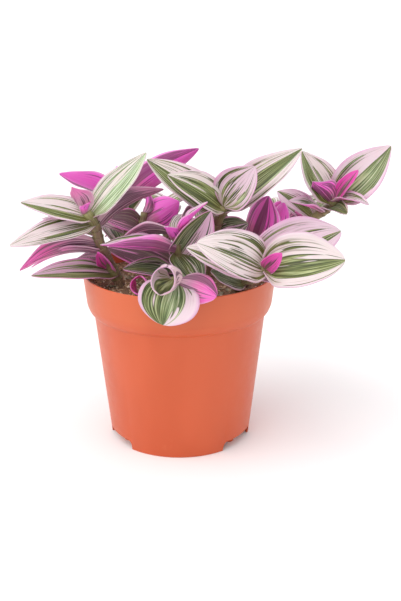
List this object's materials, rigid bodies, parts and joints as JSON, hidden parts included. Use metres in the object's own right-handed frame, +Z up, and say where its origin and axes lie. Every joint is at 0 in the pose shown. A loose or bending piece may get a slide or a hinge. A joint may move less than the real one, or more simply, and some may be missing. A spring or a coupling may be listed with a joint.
{
  "type": "potted tradescantia",
  "caption": "Trailing plant with striped leaves and magenta undersides, growing in soil in a round flower pot with a rim band.",
  "frame": {"origin": "on the pot's axis, at the flat centre of its underside, which is the surface it stands on", "axes": "+Z up along the pot's axis, +X to the right and +Y away from the viewer in the main view"},
  "size_m": [0.2255, 0.1846, 0.1834],
  "materials": {
    "pot": "satin",
    "soil": "matte",
    "foliage": "satin"
  },
  "bodies": {
    "root": {"pot": "pot", "soil": "soil", "shoot_left": "foliage", "shoot_back_left": "foliage", "shoot_inner": "foliage", "shoot_centre": "foliage", "shoot_right": "foliage", "shoot_front_right": "foliage", "shoot_front": "foliage", "shoot_middle": "foliage", "sprout_front_left": "foliage", "shoot_back": "foliage", "shoot_back_right": "foliage"}
  },
  "joints": []
}
